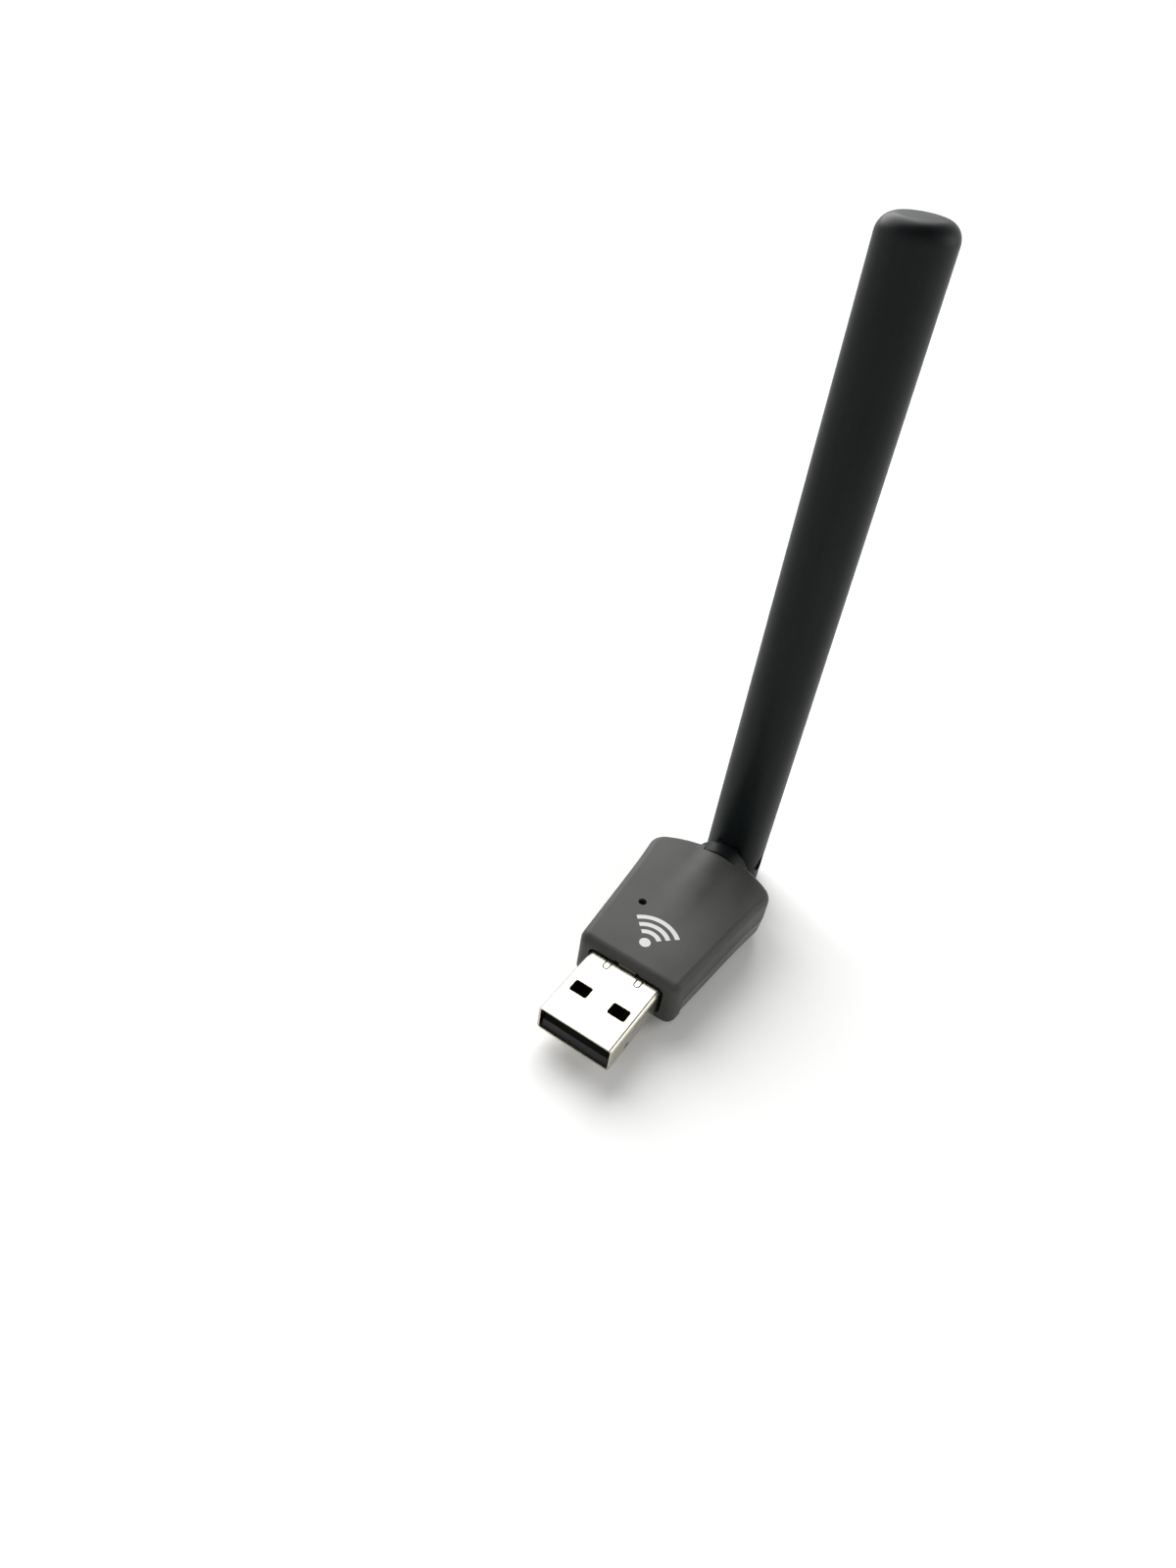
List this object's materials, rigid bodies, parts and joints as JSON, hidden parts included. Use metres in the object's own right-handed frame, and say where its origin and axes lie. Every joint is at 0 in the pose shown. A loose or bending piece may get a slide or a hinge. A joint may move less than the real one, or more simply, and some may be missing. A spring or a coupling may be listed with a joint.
{
  "type": "usb wifi adapter",
  "caption": "USB-A wifi adapter: flared matte plastic case with a swivelling, folding whip antenna at its back and a status lamp hole on top.",
  "frame": {"origin": "on the USB plug centre line, in the plane of the case mouth that the plug leaves", "axes": "+X across the plug (its 12 mm width), +Y from the plug back to the antenna, +Z out of the case top"},
  "size_m": [0.0214, 0.0535, 0.1008],
  "materials": {
    "case_plastic": "matte dark grey moulded ABS",
    "case_plastic_low": "matte grey moulded ABS",
    "nickel_steel": "bright nickel-plated steel sheet",
    "black_plastic": "black glass-filled insulator plastic",
    "board_laminate": "green solder mask",
    "chip_resin": "black moulding resin",
    "crystal_can": "satin metal lid",
    "ferrite": "dark grey ferrite",
    "led_lens": "clear resin lens",
    "swivel_plastic": "satin black acetal",
    "pin_steel": "plain steel",
    "antenna_plastic": "satin black moulded plastic",
    "brass_tube": "drawn brass",
    "copper_wire": "tinned copper wire",
    "shrink_tube": "black polyolefin",
    "gold_contact": "gold-flashed contact",
    "ceramic_chip": "tan ceramic with tinned ends",
    "cable_jacket": "smooth fluoropolymer jacket"
  },
  "bodies": {
    "housing": {"bottom_cover": "case_plastic_low", "capacitor_back_1": "ceramic_chip", "capacitor_back_2": "ceramic_chip", "capacitor_back_3": "ceramic_chip", "capacitor_front_1": "ceramic_chip", "capacitor_front_2": "ceramic_chip", "capacitor_front_3": "ceramic_chip", "circuit_board": "board_laminate", "coax_board": "cable_jacket", "crystal": "crystal_can", "memory_chip": "chip_resin", "power_inductor": "ferrite", "status_led": "led_lens", "top_cover": "case_plastic", "usb_contact_data_minus": "gold_contact", "usb_contact_data_plus": "gold_contact", "usb_contact_ground": "gold_contact", "usb_contact_power": "gold_contact", "usb_insulator": "black_plastic", "usb_shell": "nickel_steel", "wifi_chip": "chip_resin"},
    "swivel": {"swivel_collar": "swivel_plastic", "coax_swivel": "cable_jacket"},
    "antenna": {"antenna_fork": "antenna_plastic", "antenna_tube": "antenna_plastic", "hinge_pin_left": "pin_steel", "hinge_pin_right": "pin_steel", "coax_antenna": "cable_jacket", "radiator_sleeve": "brass_tube", "radiator_whip": "copper_wire", "heat_shrink": "shrink_tube"}
  },
  "joints": [
    {"name": "antenna_swivel", "type": "hinge", "parent": "housing", "child": "swivel", "pos_m": [0, 0.028, 0], "axis": [0, 1, 0], "range_deg": [-90, 90]},
    {"name": "antenna_fold", "type": "hinge", "parent": "swivel", "child": "antenna", "pos_m": [0, 0.03576, 0], "axis": [-1, 0, 0], "range_deg": [0, 90]}
  ]
}
